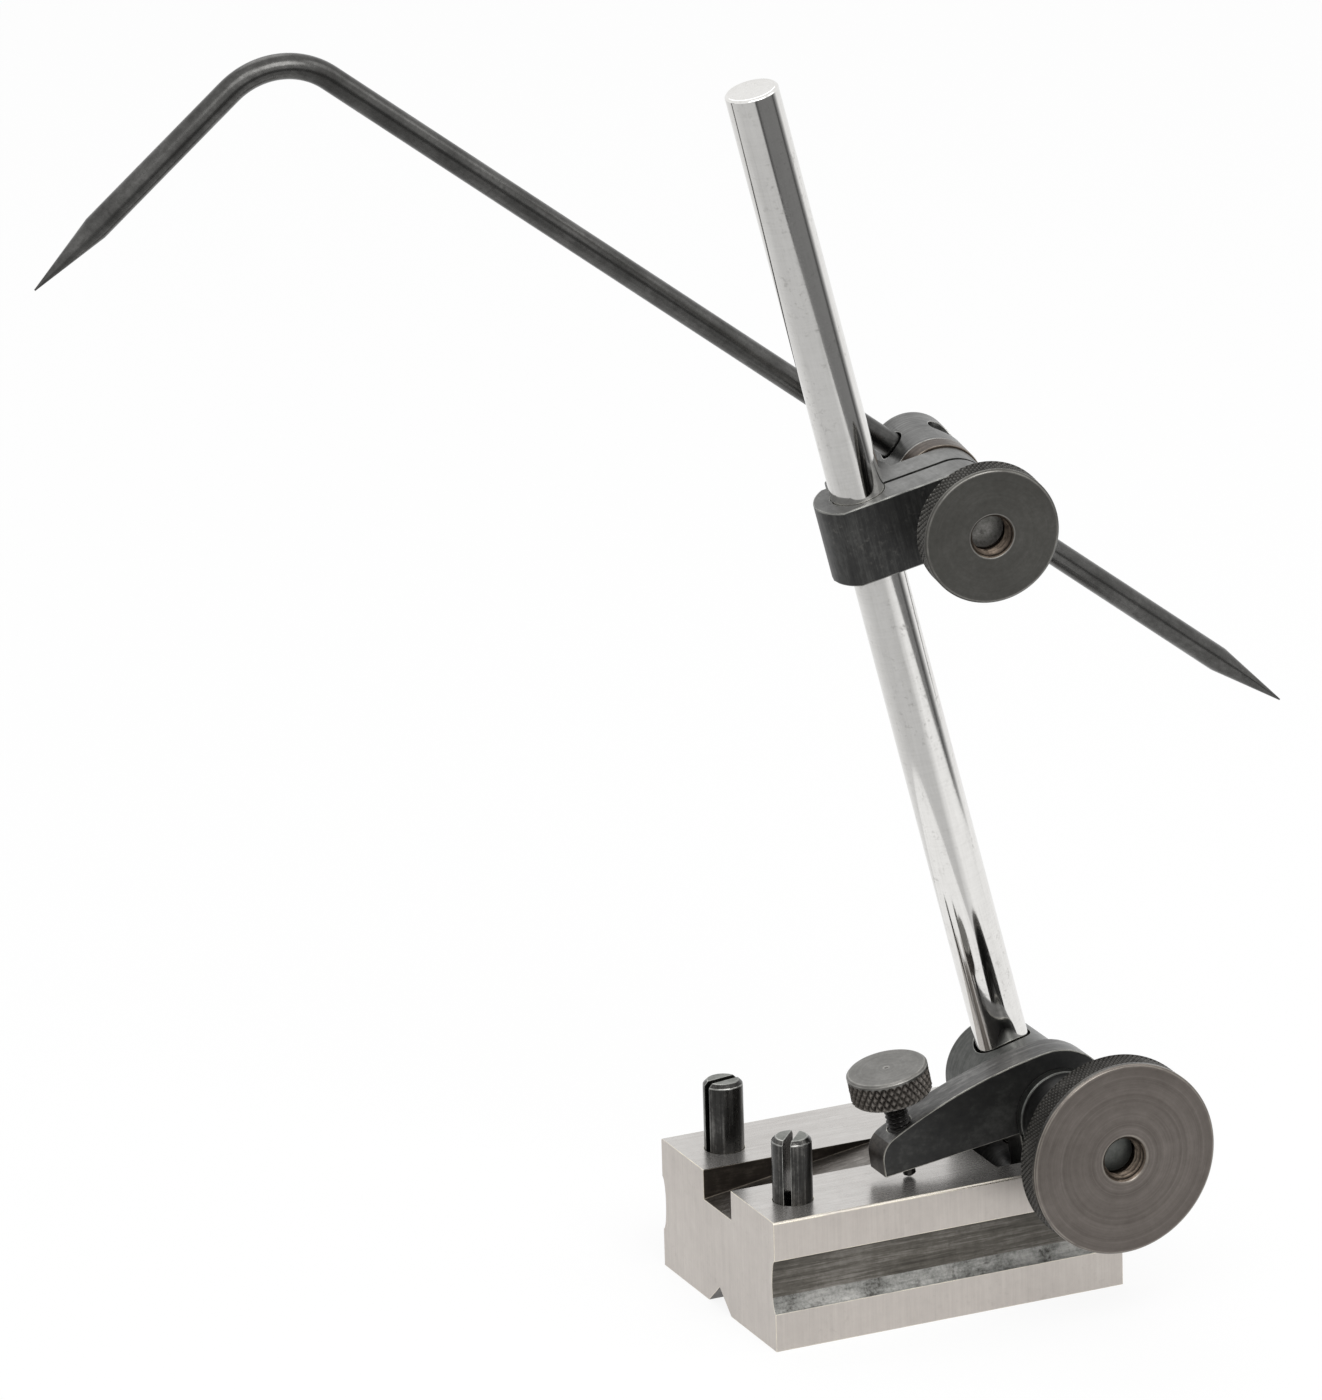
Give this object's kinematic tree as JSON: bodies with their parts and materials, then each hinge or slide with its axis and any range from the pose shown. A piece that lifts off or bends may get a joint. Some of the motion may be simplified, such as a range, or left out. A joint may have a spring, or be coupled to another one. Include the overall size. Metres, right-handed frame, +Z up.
{
  "type": "surface gauge",
  "caption": "Surface gauge: a grooved steel base with a rocking arm and fine adjusting screw, a swivelling spindle and a bent scriber in a split clamp",
  "frame": {"origin": "centre of the base's underside, on the centre line of its V-groove", "axes": "+X to the rear, along the V-groove; +Y away from the side with the large knurled nut; +Z up"},
  "size_m": [0.2353, 0.0833, 0.2441],
  "materials": {
    "ground_steel": "ground, aged satin",
    "dark_steel": "aged dark satin",
    "black_steel": "blackened, worn at the edges",
    "brown_steel": "blackened, turned brown",
    "bright_steel": "polished",
    "spring_steel": "oiled"
  },
  "bodies": {
    "base": {"base": "ground_steel", "rocker_pin": "bright_steel", "rocker_spring": "spring_steel"},
    "guide_pin_near": {"guide_pin_near": "dark_steel"},
    "guide_pin_far": {"guide_pin_far": "dark_steel"},
    "rocker": {"rocker_arm": "black_steel"},
    "fine_screw": {"fine_adjust_screw": "dark_steel"},
    "swivel": {"swivel_sleeve": "ground_steel", "swivel_stud": "bright_steel", "swivel_washer": "dark_steel"},
    "swivel_nut": {"swivel_nut": "dark_steel"},
    "spindle": {"spindle": "bright_steel"},
    "snug": {"snug": "black_steel"},
    "scriber_clamp": {"snug_stud": "bright_steel", "scriber_collar": "brown_steel", "scriber_sleeve": "dark_steel"},
    "snug_nut": {"snug_nut": "dark_steel"},
    "scriber": {"scriber": "dark_steel"}
  },
  "joints": [
    {"name": "near_pin_slide", "type": "slide", "parent": "base", "child": "guide_pin_near", "axis": [0, 0, -1], "range_m": [0, 0.0127]},
    {"name": "far_pin_slide", "type": "slide", "parent": "base", "child": "guide_pin_far", "axis": [0, 0, -1], "range_m": [0, 0.0127]},
    {"name": "rocker_tilt", "type": "hinge", "parent": "base", "child": "rocker", "pos_m": [0.02545, 0, 0.0149], "axis": [0, 1, 0], "range_deg": [-2.5, 8], "deforming": ["rocker_spring"]},
    {"name": "fine_screw_feed", "type": "slide", "parent": "rocker", "child": "fine_screw", "axis": [0.1953, 0, -0.9808], "range_m": [-0.0013, 0.004]},
    {"name": "spindle_tilt", "type": "hinge", "parent": "rocker", "child": "swivel", "pos_m": [0.0254, 0, 0.03426], "axis": [0, 1, 0], "range_deg": [-82, 75]},
    {"name": "swivel_nut_turn", "type": "hinge", "parent": "swivel", "child": "swivel_nut", "pos_m": [0.0254, 0, 0.03426], "axis": [0, 1, 0], "continuous": true},
    {"name": "spindle_turn", "type": "hinge", "parent": "swivel", "child": "spindle", "pos_m": [0.0254, 0, 0.03426], "axis": [-0.2362, 0, 0.9717], "continuous": true},
    {"name": "snug_slide", "type": "slide", "parent": "spindle", "child": "snug", "axis": [-0.2362, 0, 0.9717], "range_m": [-0.025, 0.08]},
    {"name": "scriber_swing", "type": "hinge", "parent": "snug", "child": "scriber_clamp", "pos_m": [0.01467, -0.00225, 0.15062], "axis": [0.1268, 0.9914, 0.0308], "range_deg": [-55, 10]},
    {"name": "scriber_slide", "type": "slide", "parent": "scriber_clamp", "child": "scriber", "axis": [0.7814, -0.0807, -0.6188], "range_m": [-0.05, 0.09]},
    {"name": "snug_nut_turn", "type": "hinge", "parent": "scriber_clamp", "child": "snug_nut", "pos_m": [0.01467, -0.00225, 0.15062], "axis": [0.1268, 0.9914, 0.0308], "continuous": true}
  ],
  "couplings": [
    {"joint": "fine_screw_feed", "follows": "rocker_tilt", "m_per_rad": 0.0281}
  ]
}
